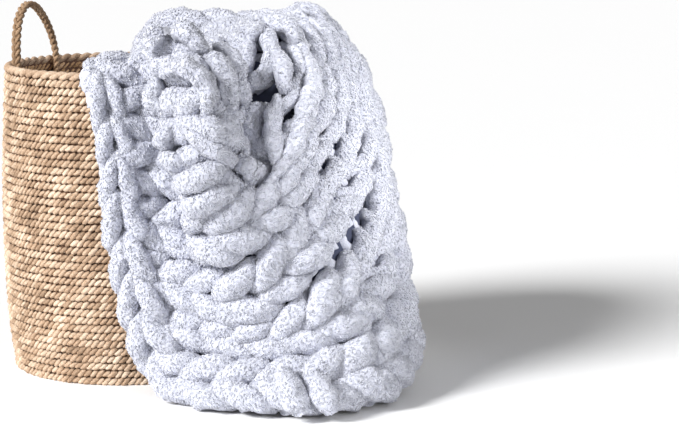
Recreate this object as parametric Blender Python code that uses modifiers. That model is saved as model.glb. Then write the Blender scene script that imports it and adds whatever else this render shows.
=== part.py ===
"""A chunky knit blanket draped over the rim of a round coiled basket.

Metres, +Z up. The origin is the middle of the basket's underside. The picture
of the object looks along +Y, with +X to the right, so the blanket falls on the
-Y and +X sides of the basket and its other end hangs inside the mouth.
"""
import math

import bmesh
import bpy
import numpy as np

CM = 0.01
MM = 0.001

# Basket: a turned shell, its outer radius given at a few heights
BASKET_HEIGHT = 0.430
BASKET_WALL = 0.010
BASKET_FLOOR = 0.012
BASKET_FOOT_RADIUS = 0.150
BASKET_FOOT_ROUND = 0.012
BASKET_RIM_ROUND = 0.003
# height as a share of the basket's, outer radius
BASKET_SIDE = ((0.10, 0.1670), (0.28, 0.1725), (0.48, 0.1745), (0.68, 0.1735), (0.85, 0.1705))
BASKET_RIM_RADIUS = 0.167
BASKET_STEPS = 56

# Handle: a narrow plaited strap, its two feet sewn to the inside of the wall
HANDLE_RADIUS = 0.0060
HANDLE_AZIMUTHS = (181, 131)
HANDLE_RISE = 0.086
HANDLE_FOOT_DEPTH = 0.040
HANDLE_GAP = 0.0003

# Blanket: wales are the columns of V-shaped stitches. They start at the plaited
# border on the left, run to the right, turn up and go over the rim.
WALES = 7
COURSES = 22
ROWS_PER_COURSE = 3
COLUMNS_PER_WALE = 6
STITCH_LEAN = 0.026
LEAN_FADE = 0.100
FRONT_HALF = 14 * MM
BACK_HALF = 14 * MM
STITCH_RELIEF = 9 * MM
GROOVE_SHARE = 0.35
COLUMN_WIDTH = 0.011
NORMAL_EASING = 4
FOLD_EASING = 20
SMALL_CELL = 0.5
EDGE_HALF = 9 * MM
EDGE_REACH = 9 * MM
BACK_ROW_STEP = 1
BACK_COLUMN_STEP = 3
# Height of the plaited border over the mid surface, a row for each grid row
BORDER_PROFILE = (14 * MM, 23 * MM, 25 * MM, 20 * MM, 11 * MM)
BORDER_LUMP = 3 * MM
BORDER_PITCH_WALES = 0.85
# The bound-off end of the yarn, a lump on the hem
KNOT_PLACE = (0.235, -0.365, 0.030)
KNOT_REACH = 0.038
KNOT_HEIGHT = 0.022

# Mid surface of the blanket: one row for each line along the wales, numbered
# from the hem, with its places in centimetres in the order of STATIONS, the
# azimuth in degrees where it crosses the rim and the height where it ends inside
STATIONS = (
    "lip", "edge", "recess", "tuck", "turn", "crest", "ridge",
    "crease", "swell", "flank", "shoulder", "crown", "top", "saddle",
)
LINES = (
    (0.0, (3.0, -22.5, 2.6), (6.3, -25.2, 2.4), (9.5, -28.6, 2.4), (12.7, -32.0, 2.4),
     (16.0, -34.5, 2.4), (20.0, -35.2, 2.4), (24.5, -35.7, 2.4), (29.0, -34.3, 2.4),
     (33.5, -30.5, 2.4), (37.8, -22.0, 2.4), (39.4, -6.0, 3.4), (37.6, 3.0, 18.0),
     (33.2, 8.0, 38.2), (21.0, 13.6, 47.0), 80, 34),
    (1.0, (1.0, -23.0, 9.5), (4.7, -25.0, 8.3), (8.5, -26.8, 7.4), (12.0, -28.6, 6.9),
     (15.5, -30.0, 6.7), (19.0, -31.0, 6.8), (22.7, -31.5, 7.3), (26.5, -30.9, 8.0),
     (30.5, -28.6, 9.0), (34.2, -21.0, 11.5), (34.6, -11.5, 19.0), (33.6, -5.5, 32.5),
     (28.4, -1.0, 48.0), (18.4, 7.6, 46.2), 54, 30),
    (2.4, (-0.5, -22.0, 18.0), (2.5, -23.2, 16.8), (5.5, -24.8, 15.5), (8.5, -26.5, 14.6),
     (11.2, -28.0, 14.2), (14.0, -29.3, 14.2), (17.0, -30.0, 15.0), (19.8, -30.0, 17.5),
     (22.3, -29.0, 21.3), (25.2, -25.6, 27.8), (25.9, -21.0, 35.0), (24.6, -17.5, 42.5),
     (22.4, -9.5, 48.6), (18.4, 1.0, 46.4), 24, 24),
    (3.8, (-2.0, -21.5, 27.0), (0.5, -21.5, 26.3), (4.0, -21.8, 25.5), (8.0, -22.5, 25.0),
     (10.5, -25.5, 25.0), (9.2, -29.0, 26.0), (11.5, -32.2, 26.8), (14.8, -31.5, 27.5),
     (18.2, -29.5, 29.5), (20.6, -27.0, 34.0), (20.8, -23.3, 40.5), (19.8, -19.0, 45.2),
     (18.8, -13.0, 48.8), (17.6, -5.0, 46.5), -4, 20),
    (5.0, (-2.5, -21.0, 35.0), (0.0, -20.8, 34.7), (4.0, -20.6, 34.2), (9.0, -21.3, 33.8),
     (11.2, -24.7, 34.0), (6.8, -28.8, 34.8), (10.0, -32.3, 35.5), (13.5, -28.5, 35.0),
     (14.6, -24.3, 36.3), (14.6, -21.0, 40.0), (14.5, -18.8, 43.2), (14.5, -16.3, 45.4),
     (14.4, -13.6, 46.3), (14.2, -10.5, 46.1), -26, 17),
    (6.1, (-4.0, -20.5, 42.5), (-1.0, -20.3, 42.3), (3.0, -20.2, 42.0), (8.0, -20.8, 42.0),
     (10.2, -24.0, 42.3), (5.6, -27.5, 42.8), (8.6, -31.0, 43.5), (12.2, -27.5, 43.0),
     (13.2, -24.0, 43.2), (12.8, -21.3, 44.2), (12.4, -19.0, 45.0), (12.0, -17.0, 45.4),
     (11.9, -15.0, 45.9), (11.4, -12.7, 45.6), -46, 15),
    (6.6, (-4.6, -17.8, 44.6), (-1.6, -18.0, 44.6), (2.3, -18.0, 44.6), (6.2, -18.8, 44.8),
     (8.5, -21.6, 45.3), (4.2, -25.2, 45.9), (7.7, -28.6, 46.8), (11.4, -25.6, 45.4),
     (12.3, -22.3, 44.8), (12.0, -19.8, 45.0), (11.5, -17.8, 45.3), (11.0, -16.2, 45.4),
     (10.4, -14.8, 45.5), (9.7, -13.6, 45.2), -55, 14.5),
    (7.0, (-4.3, -14.2, 44.8), (-1.3, -14.5, 44.8), (1.2, -14.7, 44.9), (3.6, -15.7, 45.4),
     (5.4, -18.7, 46.5), (3.0, -22.2, 47.4), (6.8, -25.6, 47.9), (10.6, -23.8, 46.6),
     (11.4, -20.8, 46.0), (10.6, -18.5, 45.6), (9.6, -16.6, 45.5), (8.7, -15.2, 45.4),
     (8.1, -14.4, 45.3), (7.6, -13.6, 45.0), -64, 14),
)
# Where every line goes after the saddle, in centimetres: radius and height over
# the inner edge of the rim, then the radius of the lining, half way and at its end
RIM_RADIUS_CM = 14.9
RIM_HEIGHT_CM = 44.5
LINING_TOP_RADIUS_CM = 13.9
LINING_TOP_CM = 42.0
LINING_MID_RADIUS_CM = 14.2
LINING_END_RADIUS_CM = 14.2

COLOURS = {
    "basket": ((0.52, 0.36, 0.21, 1.0), 0.85),
    "handle": ((0.42, 0.28, 0.16, 1.0), 0.85),
    "blanket": ((0.72, 0.74, 0.84, 1.0), 0.95),
}


def clear_scene():
    """Remove the objects that a new file starts with."""
    for old in list(bpy.data.objects):
        bpy.data.objects.remove(old, do_unlink=True)


def add_material(piece, name):
    """Give a piece its own material in the colour of the real one."""
    colour, roughness = COLOURS[name]
    material = bpy.data.materials.new(name)
    material.use_nodes = True
    shader = material.node_tree.nodes["Principled BSDF"]
    shader.inputs["Base Color"].default_value = colour
    shader.inputs["Roughness"].default_value = roughness
    shader.inputs["Metallic"].default_value = 0.0
    piece.data.materials.append(material)


def add_mesh(collection, name, vertices, faces, edges=()):
    """Make a named mesh object from vertices, faces and edges."""
    mesh = bpy.data.meshes.new(name)
    mesh.from_pydata(vertices, edges, faces)
    mesh.update()
    piece = bpy.data.objects.new(name, mesh)
    collection.objects.link(piece)
    return piece


def hermite(knots, places, at):
    """Smooth curve through places (knots x ... x 3), read at the values in at."""
    knots = np.asarray(knots, float)
    places = np.asarray(places, float)
    gaps = np.diff(knots)
    shape = (-1,) + (1,) * (places.ndim - 1)
    slopes = np.diff(places, axis=0) / gaps.reshape(shape)
    before = gaps[:-1].reshape(shape)
    after = gaps[1:].reshape(shape)
    inner = (slopes[:-1] * after + slopes[1:] * before) / (before + after)
    tangents = np.concatenate([slopes[:1], inner, slopes[-1:]])
    first = np.clip(np.searchsorted(knots, at, side="right") - 1, 0, len(gaps) - 1)
    gap = gaps[first].reshape(shape)
    share = ((np.asarray(at) - knots[first]) / gaps[first]).reshape(shape)
    square = share * share
    cube = square * share
    return (
        (2 * cube - 3 * square + 1) * places[first]
        + (cube - 2 * square + share) * gap * tangents[first]
        + (3 * square - 2 * cube) * places[first + 1]
        + (cube - square) * gap * tangents[first + 1]
    )


def line_places(row):
    """All places of one line, from the lip to its end inside the basket."""
    azimuth = math.radians(row[-2])
    end_height = row[-1]
    places = list(row[1:-2])
    lining = (
        (RIM_RADIUS_CM, RIM_HEIGHT_CM),
        (LINING_TOP_RADIUS_CM, LINING_TOP_CM),
        (LINING_MID_RADIUS_CM, (LINING_TOP_CM + end_height) / 2),
        (LINING_END_RADIUS_CM, end_height),
    )
    for radius, height in lining:
        places.append((radius * math.cos(azimuth), radius * math.sin(azimuth), height))
    return np.array(places) * CM


def along_line(places, stations):
    """Read one line at station numbers, with knots spaced by the root of each chord."""
    chords = np.linalg.norm(np.diff(places, axis=0), axis=1)
    knots = np.concatenate([[0.0], np.cumsum(np.sqrt(chords))])
    return hermite(knots, places, np.interp(stations, np.arange(len(knots)), knots))


def station_of_length(all_places):
    """Mean length of the lines at fine station numbers, to space the courses evenly."""
    stations = np.linspace(0, len(all_places[0]) - 1, 400)
    lengths = []
    for places in all_places:
        steps = np.linalg.norm(np.diff(along_line(places, stations), axis=0), axis=1)
        lengths.append(np.concatenate([[0.0], np.cumsum(steps)]))
    return stations, np.mean(lengths, axis=0)


def mid_surface():
    """Grid of the mid surface: places[row, column], sheared so that rows follow the Vs."""
    all_places = [line_places(row) for row in LINES]
    wale_numbers = [row[0] for row in LINES]
    stations, lengths = station_of_length(all_places)
    rows = COURSES * ROWS_PER_COURSE
    columns = WALES * COLUMNS_PER_WALE
    row_lengths = np.linspace(0, lengths[-1], rows + 1)
    fade = np.minimum(row_lengths, lengths[-1] - row_lengths) / LEAN_FADE
    fade = np.clip(fade, 0, 1)
    grid = np.zeros((rows + 1, columns + 1, 3))
    for column in range(columns + 1):
        wale = column / COLUMNS_PER_WALE
        from_middle = abs(wale % 1 - 0.5) * 2
        place_lengths = row_lengths + STITCH_LEAN * (from_middle - 0.5) * fade
        at = np.interp(place_lengths, lengths, stations)
        lines = np.array([along_line(places, at) for places in all_places])
        grid[:, column] = hermite(wale_numbers, lines, np.array([wale]))[0]
    return grid


def unit(vectors):
    """Vectors of length one in the same directions."""
    return vectors / np.linalg.norm(vectors, axis=-1, keepdims=True)


def smoothed(field):
    """Mean of each grid value with its neighbours."""
    padded = np.pad(field, ((1, 1), (1, 1)) + ((0, 0),) * (field.ndim - 2), mode="edge")
    rows, columns = field.shape[:2]
    total = np.zeros_like(field)
    for row in range(3):
        for column in range(3):
            total += padded[row:row + rows, column:column + columns]
    return total / 9


def surface_normals(grid):
    """Unit normals of the mid surface, towards the side that shows, eased in the folds."""
    normals = unit(np.cross(np.gradient(grid, axis=0), np.gradient(grid, axis=1)))
    for _ in range(NORMAL_EASING):
        normals = unit(smoothed(normals))
    return normals


def room_for_relief(grid):
    """Share of the full relief that the width of the bunched columns leaves room for."""
    width = np.linalg.norm(np.gradient(grid, axis=1), axis=2)
    share = np.clip(smoothed(width) / COLUMN_WIDTH, 0.2, 1.0)
    return smoothed(share)


def front_heights(room):
    """Height of the knit face over the mid surface: V-shaped arms and the border."""
    rows, columns = room.shape
    heights = np.zeros(room.shape)
    for row in range(rows):
        groove = GROOVE_SHARE if row % ROWS_PER_COURSE == 0 else 1.0
        for column in range(columns):
            wale = column / COLUMNS_PER_WALE
            across_arm = abs(wale % 1 - 0.5) * 2
            arm = math.sin(math.pi * across_arm) * groove
            height = FRONT_HALF + STITCH_RELIEF * (arm - 0.2) * room[row, column]
            if row < len(BORDER_PROFILE):
                lump = math.cos(2 * math.pi * wale / BORDER_PITCH_WALES)
                height = BORDER_PROFILE[row] + BORDER_LUMP * lump
            if column in (0, columns - 1) or row == rows - 1:
                height = min(height, EDGE_HALF)
            heights[row, column] = height
    return heights


def eased_folds(places, grid, normals):
    """Even out a face where a fold leaves its cells too small or turned over."""
    cell = np.cross(np.gradient(grid, axis=0), np.gradient(grid, axis=1))
    full_area = np.median(np.linalg.norm(cell, axis=2))
    for _ in range(FOLD_EASING):
        cell = np.cross(np.gradient(places, axis=0), np.gradient(places, axis=1))
        area = np.sum(cell * normals, axis=2) / full_area
        pull = np.clip(1 - area / SMALL_CELL, 0, 1)
        places = places + (smoothed(places) - places) * smoothed(pull)[:, :, None]
    return places


def knot_bump(places, normals):
    """Push the hem outward around the bound-off end of the yarn."""
    distance = np.linalg.norm(places - np.array(KNOT_PLACE), axis=2)
    bump = KNOT_HEIGHT * np.exp(-((distance / KNOT_REACH) ** 2))
    return places + normals * bump[:, :, None]


def boundary(rows, columns):
    """Row and column pairs once around a grid, starting at its first corner."""
    loop = [(row, 0) for row in range(rows)]
    loop += [(rows, column) for column in range(columns)]
    loop += [(row, columns) for row in range(rows, 0, -1)]
    loop += [(0, column) for column in range(columns, 0, -1)]
    return loop


def grid_faces(rows, columns, index):
    """Quads of a grid whose vertex numbers are given by index[row, column]."""
    faces = []
    for row in range(rows):
        for column in range(columns):
            faces.append((
                index[row, column], index[row + 1, column],
                index[row + 1, column + 1], index[row, column + 1],
            ))
    return faces


def build_blanket(collection):
    """The knit sheet as one closed solid: knit front, plain back, rounded edge."""
    grid = mid_surface()
    normals = surface_normals(grid)
    heights = front_heights(room_for_relief(grid))
    front = eased_folds(grid + normals * heights[:, :, None], grid, normals)
    front = knot_bump(front, normals)
    back_heights = np.full(heights.shape, BACK_HALF)
    back_heights[:, (0, -1)] = EDGE_HALF
    back_heights[(0, -1), :] = EDGE_HALF
    back = eased_folds(grid - normals * back_heights[:, :, None], grid, normals)
    rows = grid.shape[0] - 1
    columns = grid.shape[1] - 1

    vertices = [tuple(place) for place in front.reshape(-1, 3)]
    front_index = np.arange(len(vertices)).reshape(front.shape[:2])
    back_grid = back[::BACK_ROW_STEP, ::BACK_COLUMN_STEP]
    back_index = np.arange(back_grid.shape[0] * back_grid.shape[1]).reshape(back_grid.shape[:2])
    back_index = back_index + len(vertices)
    vertices += [tuple(place) for place in back_grid.reshape(-1, 3)]
    faces = grid_faces(rows, columns, front_index)
    back_faces = grid_faces(back_grid.shape[0] - 1, back_grid.shape[1] - 1, back_index)
    faces += [tuple(reversed(face)) for face in back_faces]

    loop = boundary(rows, columns)
    first_edge = len(vertices)
    for row, column in loop:
        inner_row = min(max(row, 1), rows - 1)
        inner_column = min(max(column, 1), columns - 1)
        outward = grid[row, column] - grid[inner_row, inner_column]
        outward = outward / np.linalg.norm(outward)
        vertices.append(tuple(grid[row, column] + outward * EDGE_REACH))
    count = len(loop)
    for number in range(count):
        after = (number + 1) % count
        here = front_index[loop[number]]
        there = front_index[loop[after]]
        faces.append((there, here, first_edge + number, first_edge + after))
    number = 0
    while number < count:
        row, column = loop[number]
        steps = BACK_COLUMN_STEP if loop[(number + 1) % count][0] == row else BACK_ROW_STEP
        here = back_index[row // BACK_ROW_STEP, column // BACK_COLUMN_STEP]
        row, column = loop[(number + steps) % count]
        there = back_index[row // BACK_ROW_STEP, column // BACK_COLUMN_STEP]
        edge = [first_edge + (number + step) % count for step in range(steps + 1)]
        faces.append((here, edge[1], edge[0]))
        faces.append((here, there, edge[1]))
        for step in range(1, steps):
            faces.append((there, edge[step + 1], edge[step]))
        number += steps

    vertices = [(x, y, max(z, 0.0)) for x, y, z in vertices]
    blanket = add_mesh(collection, "blanket", vertices, faces)
    tidy_mesh(blanket)
    blanket.data.shade_smooth()
    add_material(blanket, "blanket")
    return blanket


def tidy_mesh(piece):
    """Split the quads into triangles and make sure that every face points out."""
    work = bmesh.new()
    work.from_mesh(piece.data)
    bmesh.ops.triangulate(work, faces=work.faces[:])
    bmesh.ops.recalc_face_normals(work, faces=work.faces[:])
    work.to_mesh(piece.data)
    work.free()


def basket_radius(height):
    """Outer radius of the basket's wall at a height."""
    heights = [BASKET_FOOT_ROUND] + [share * BASKET_HEIGHT for share, _ in BASKET_SIDE]
    radii = [BASKET_FOOT_RADIUS + BASKET_FOOT_ROUND] + [radius for _, radius in BASKET_SIDE]
    heights.append(BASKET_HEIGHT)
    radii.append(BASKET_RIM_RADIUS)
    places = np.column_stack([radii, heights])
    return float(hermite(heights, places, np.array([height]))[0, 0])


def basket_profile():
    """Half section of the basket, from the inside bottom over the rim to the underside."""
    wall_heights = np.linspace(BASKET_FLOOR + 0.02, BASKET_HEIGHT - BASKET_RIM_ROUND, 9)
    inner = [(0.0, BASKET_FLOOR), (BASKET_FOOT_RADIUS - 0.008, BASKET_FLOOR)]
    inner += [(basket_radius(height) - BASKET_WALL, height) for height in wall_heights]
    rim = [
        (BASKET_RIM_RADIUS - BASKET_WALL + BASKET_RIM_ROUND, BASKET_HEIGHT),
        (BASKET_RIM_RADIUS - BASKET_RIM_ROUND, BASKET_HEIGHT),
    ]
    outer = [(basket_radius(height), height) for height in reversed(wall_heights)]
    foot = []
    for angle in (0, 30, 60, 90):
        turn = math.radians(angle)
        foot.append((
            BASKET_FOOT_RADIUS + BASKET_FOOT_ROUND * math.cos(turn),
            BASKET_FOOT_ROUND * (1 - math.sin(turn)),
        ))
    return inner + rim + outer + foot + [(0.0, 0.0)]


def build_basket(collection):
    """The basket as one turned shell, open at the top."""
    profile = basket_profile()
    vertices = [(radius, 0.0, height) for radius, height in profile]
    edges = [(number, number + 1) for number in range(len(vertices) - 1)]
    basket = add_mesh(collection, "basket", vertices, (), edges)
    turn = basket.modifiers.new("turned", "SCREW")
    turn.axis = "Z"
    turn.angle = 2 * math.pi
    turn.steps = BASKET_STEPS
    turn.render_steps = BASKET_STEPS
    turn.use_merge_vertices = True
    turn.merge_threshold = 0.00005
    add_material(basket, "basket")
    return basket


def build_handle(collection):
    """One plaited loop handle, a round strap with both feet inside the wall."""
    top = BASKET_HEIGHT
    low = top - HANDLE_FOOT_DEPTH
    facet_depth = BASKET_RIM_RADIUS * (1 - math.cos(math.pi / BASKET_STEPS))
    clear = BASKET_WALL + facet_depth + HANDLE_RADIUS + HANDLE_GAP
    feet = []
    for azimuth in HANDLE_AZIMUTHS:
        turn = math.radians(azimuth)
        direction = np.array([math.cos(turn), math.sin(turn)])
        low_radius = basket_radius(low) - clear
        top_radius = basket_radius(top) - clear
        feet.append((direction * low_radius, direction * top_radius))
    near_low, near_top = feet[0]
    far_low, far_top = feet[1]
    # share of the way between the feet, height over the rim as a share of the rise
    arch = ((0.03, 0.45), (0.14, 0.80), (0.33, 0.98), (0.55, 0.97), (0.78, 0.74), (0.93, 0.38))
    route = [(*near_low, low), (*near_top, top)]
    for share, rise in arch:
        place = near_top + (far_top - near_top) * share
        route.append((*place, top + HANDLE_RISE * rise))
    route += [(*far_top, top), (*far_low, low)]
    route = np.array(route)
    smooth = along_line(route, np.linspace(0, len(route) - 1, 34))
    curve = bpy.data.curves.new("handle", "CURVE")
    curve.dimensions = "3D"
    spline = curve.splines.new("POLY")
    spline.points.add(len(smooth) - 1)
    for point, place in zip(spline.points, smooth):
        point.co = (*place, 1.0)
    curve.bevel_depth = HANDLE_RADIUS
    curve.bevel_resolution = 2
    curve.use_fill_caps = True
    handle = bpy.data.objects.new("handle", curve)
    collection.objects.link(handle)
    add_material(handle, "handle")
    return handle


def main():
    clear_scene()
    collection = bpy.data.collections.new("knit_blanket_on_basket")
    bpy.context.scene.collection.children.link(collection)
    build_basket(collection)
    build_handle(collection)
    build_blanket(collection)


main()
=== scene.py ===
"""Looks of a chunky knit blanket draped over the rim of a coiled jute basket.

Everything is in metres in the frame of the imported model: the origin is the
middle of the basket's underside, +Z is up, and the picture looks along +Y.
"""
import math

import bpy
import numpy as np
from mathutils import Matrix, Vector


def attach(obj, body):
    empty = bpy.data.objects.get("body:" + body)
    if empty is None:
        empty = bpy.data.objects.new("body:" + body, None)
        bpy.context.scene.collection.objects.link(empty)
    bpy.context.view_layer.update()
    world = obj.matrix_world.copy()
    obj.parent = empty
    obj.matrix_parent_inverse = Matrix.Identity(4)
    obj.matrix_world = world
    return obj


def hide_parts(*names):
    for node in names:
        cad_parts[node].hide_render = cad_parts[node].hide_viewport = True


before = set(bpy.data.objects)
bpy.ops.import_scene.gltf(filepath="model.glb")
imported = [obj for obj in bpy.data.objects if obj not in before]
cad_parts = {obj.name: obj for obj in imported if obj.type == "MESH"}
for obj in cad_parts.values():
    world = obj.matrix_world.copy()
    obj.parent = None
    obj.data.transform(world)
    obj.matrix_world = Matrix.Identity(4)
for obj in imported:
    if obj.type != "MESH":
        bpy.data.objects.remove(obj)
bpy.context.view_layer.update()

CM = 0.01
MM = 0.001
SEED = 7

# Camera, from the fit to the picture: where the eye is and where it looks
IMAGE_WIDTH_PX = 679
SENSOR_MM = 36.0
FOCAL_PX = 2115.4
EYE = (0.0, -3.0, 0.7034)
PAN = 0.1017
PITCH = 0.1640
SURROUND_LIGHT = 0.30
FRONT_LIGHT = 0.11
KEY_STRENGTH = 4.65
KEY_SOFTNESS = 20
KEY_DIRECTION = (0.74, 0.42, -0.53)
# narrow soft lights: name, power in watts, place, place it is aimed at, cone in degrees
SPOTS = (
    ("right_side", 210, (1.6, -1.2, 1.1), (0.36, -0.15, 0.33), 17),
    ("hem", 42, (0.7, -1.9, 0.6), (0.27, -0.38, 0.0), 12),
    ("left_side", 60, (-2.2, -1.2, 0.9), (-0.10, -0.15, 0.24), 16),
)
FRONT_FILL_POWER = 9
FRONT_FILL_PLACE = (1.0, -2.4, 1.5)
FRONT_FILL_TARGET = (0.15, -0.1, 0.25)
FRONT_FILL_SIZE = 1.6

# Basket, as in the part's source
BASKET_HEIGHT = 0.430
BASKET_WALL = 0.010
BASKET_FLOOR = 0.012
BASKET_FOOT_RADIUS = 0.150
BASKET_FOOT_ROUND = 0.012
# height as a share of the basket's, outer radius
BASKET_SIDE = ((0.10, 0.1670), (0.28, 0.1725), (0.48, 0.1745), (0.68, 0.1735), (0.85, 0.1705))
BASKET_RIM_RADIUS = 0.167
COILS = 40
COIL_TURNS = 120
INNER_COILS = 9
# share of a coil's height, how far its core draws in there
CORE_RIB = ((0.0, 0.0018), (0.5, 0.0))
CORE_OUT = 0.0045
OUT_SINK = 0.0030
IN_SINK = 0.0020
TURN_SPACING = 0.0088
TURN_SLANT = 0.60
LEAF_LENGTH = 0.0162
LEAF_WIDTH = 0.0080
LEAF_THICKNESS = 0.0070
LEAF_SIDES = 4
# share of the half length, girth there
LEAF_SHAPE = ((-0.72, 0.70), (0.0, 1.0), (0.72, 0.70))
RIM_COIL_RADIUS = 0.1618
RIM_COIL_HEIGHT = 0.4245
RIM_LAY = 0.032
RIM_TWIST = 0.0026
RIM_STRAND = 0.0038
HANDLE_AZIMUTHS = (181, 131)
HANDLE_RISE = 0.081
HANDLE_FOOT_DEPTH = 0.040
HANDLE_CLEARANCE = 0.0165
HANDLE_TWIST = 1.1
HANDLE_TWIST_START = 0.5
PLAIT_LAY = 0.030
PLAIT_HALF = 0.0044
PLAIT_DEPTH = 0.0016
PLAIT_STRAND = 0.0028

# Blanket, as in the part's source
WALES = 7
STATIONS = (
    "lip", "edge", "recess", "tuck", "turn", "crest", "ridge",
    "crease", "swell", "flank", "shoulder", "crown", "top", "saddle",
)
LINES = (
    (0.0, (3.0, -22.5, 2.6), (6.3, -25.2, 2.4), (9.5, -28.6, 2.4), (12.7, -32.0, 2.4),
     (16.0, -34.5, 2.4), (20.0, -35.2, 2.4), (24.5, -35.7, 2.4), (29.0, -34.3, 2.4),
     (33.5, -30.5, 2.4), (37.8, -22.0, 2.4), (39.4, -6.0, 3.4), (37.6, 3.0, 18.0),
     (33.2, 8.0, 38.2), (21.0, 13.6, 47.0), 80, 34),
    (1.0, (1.0, -23.0, 9.5), (4.7, -25.0, 8.3), (8.5, -26.8, 7.4), (12.0, -28.6, 6.9),
     (15.5, -30.0, 6.7), (19.0, -31.0, 6.8), (22.7, -31.5, 7.3), (26.5, -30.9, 8.0),
     (30.5, -28.6, 9.0), (34.2, -21.0, 11.5), (34.6, -11.5, 19.0), (33.6, -5.5, 32.5),
     (28.4, -1.0, 48.0), (18.4, 7.6, 46.2), 54, 30),
    (2.4, (-0.5, -22.0, 18.0), (2.5, -23.2, 16.8), (5.5, -24.8, 15.5), (8.5, -26.5, 14.6),
     (11.2, -28.0, 14.2), (14.0, -29.3, 14.2), (17.0, -30.0, 15.0), (19.8, -30.0, 17.5),
     (22.3, -29.0, 21.3), (25.2, -25.6, 27.8), (25.9, -21.0, 35.0), (24.6, -17.5, 42.5),
     (22.4, -9.5, 48.6), (18.4, 1.0, 46.4), 24, 24),
    (3.8, (-2.0, -21.5, 27.0), (0.5, -21.5, 26.3), (4.0, -21.8, 25.5), (8.0, -22.5, 25.0),
     (10.5, -25.5, 25.0), (9.2, -29.0, 26.0), (11.5, -32.2, 26.8), (14.8, -31.5, 27.5),
     (18.2, -29.5, 29.5), (20.6, -27.0, 34.0), (20.8, -23.3, 40.5), (19.8, -19.0, 45.2),
     (18.8, -13.0, 48.8), (17.6, -5.0, 46.5), -4, 20),
    (5.0, (-2.5, -21.0, 35.0), (0.0, -20.8, 34.7), (4.0, -20.6, 34.2), (9.0, -21.3, 33.8),
     (11.2, -24.7, 34.0), (6.8, -28.8, 34.8), (10.0, -32.3, 35.5), (13.5, -28.5, 35.0),
     (14.6, -24.3, 36.3), (14.6, -21.0, 40.0), (14.5, -18.8, 43.2), (14.5, -16.3, 45.4),
     (14.4, -13.6, 46.3), (14.2, -10.5, 46.1), -26, 17),
    (6.1, (-4.0, -20.5, 42.5), (-1.0, -20.3, 42.3), (3.0, -20.2, 42.0), (8.0, -20.8, 42.0),
     (10.2, -24.0, 42.3), (5.6, -27.5, 42.8), (8.6, -31.0, 43.5), (12.2, -27.5, 43.0),
     (13.2, -24.0, 43.2), (12.8, -21.3, 44.2), (12.4, -19.0, 45.0), (12.0, -17.0, 45.4),
     (11.9, -15.0, 45.9), (11.4, -12.7, 45.6), -46, 15),
    (6.6, (-4.6, -17.8, 44.6), (-1.6, -18.0, 44.6), (2.3, -18.0, 44.6), (6.2, -18.8, 44.8),
     (8.5, -21.6, 45.3), (4.2, -25.2, 45.9), (7.7, -28.6, 46.8), (11.4, -25.6, 45.4),
     (12.3, -22.3, 44.8), (12.0, -19.8, 45.0), (11.5, -17.8, 45.3), (11.0, -16.2, 45.4),
     (10.4, -14.8, 45.5), (9.7, -13.6, 45.2), -55, 14.5),
    (7.0, (-4.3, -14.2, 44.8), (-1.3, -14.5, 44.8), (1.2, -14.7, 44.9), (3.6, -15.7, 45.4),
     (5.4, -18.7, 46.5), (3.0, -22.2, 47.4), (6.8, -25.6, 47.9), (10.6, -23.8, 46.6),
     (11.4, -20.8, 46.0), (10.6, -18.5, 45.6), (9.6, -16.6, 45.5), (8.7, -15.2, 45.4),
     (8.1, -14.4, 45.3), (7.6, -13.6, 45.0), -64, 14),
)
RIM_RADIUS_CM = 14.9
RIM_HEIGHT_CM = 44.5
LINING_TOP_RADIUS_CM = 13.9
LINING_TOP_CM = 42.0
LINING_MID_RADIUS_CM = 14.2
LINING_END_RADIUS_CM = 14.2

# Grid on which the middle of the cloth is worked out
FINE_ALONG = 660
FINE_ACROSS = 126
COARSE_STEP = (10, 3)
NORMAL_EASING = 4

# One half of a knit loop, from behind the cloth over its front and back again:
# along the wale in mm, aside from its middle in wales, height in mm, radius in mm
LOOP_PITCH = 48.0
WALE_WIDTH = 0.066
LOOP_HALF = (
    (-12, 0.50, -14, 11.5),
    (-8, 0.30, -13, 12.5),
    (0, 0.10, -5, 12.5),
    (12, 0.11, 5, 14.5),
    (27, 0.19, 8, 17.0),
    (42, 0.27, 8, 17.0),
    (57, 0.34, 4, 14.5),
    (67, 0.34, -5, 12.5),
    (74, 0.20, -12, 12.5),
    (76, 0.00, -14, 12.5),
)
LOOP_POINTS = 64
WALES_START = 0.004
# Lift of the wales along the cloth: length in metres, lift in mm
WALE_LIFT = ((0.0, -9), (0.12, -9), (0.19, 0), (1.0, 0))
# The cloth is squeezed flatter where it lies over the rim and against the wall:
# length in metres, share of the full height over and under its middle
SQUEEZE = ((0.0, 1.0), (0.70, 1.0), (0.80, 0.55), (1.1, 0.55))
# How evenly the wales share the width: length in metres, share of the way to even
EVENING = ((0.0, 0.0), (0.30, 0.0), (0.52, 0.85), (1.1, 0.85))
# The stitches are pulled longer where the cloth hangs: length, share of the usual pitch
STRETCH = ((0.0, 1.0), (0.34, 1.0), (0.44, 1.45), (0.72, 1.45), (0.82, 1.0), (1.1, 1.0))
STRETCH_THINNING = 0.85
# There the arms run straighter, closer to this share of a wale from its middle
STRETCHED_ASIDE = 0.245
STRETCHED_STRAIGHTER = 1.5
# over this height, in mm, a loop's leg goes over to a straight arm
ARM_BLEND = 9
# How far the yarn sinks to the floor at the hem, and how many wales up that fades
HEM_DROP = 0.012
HEM_FADE = 0.8
FLOOR_CLEARANCE = 0.004
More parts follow.
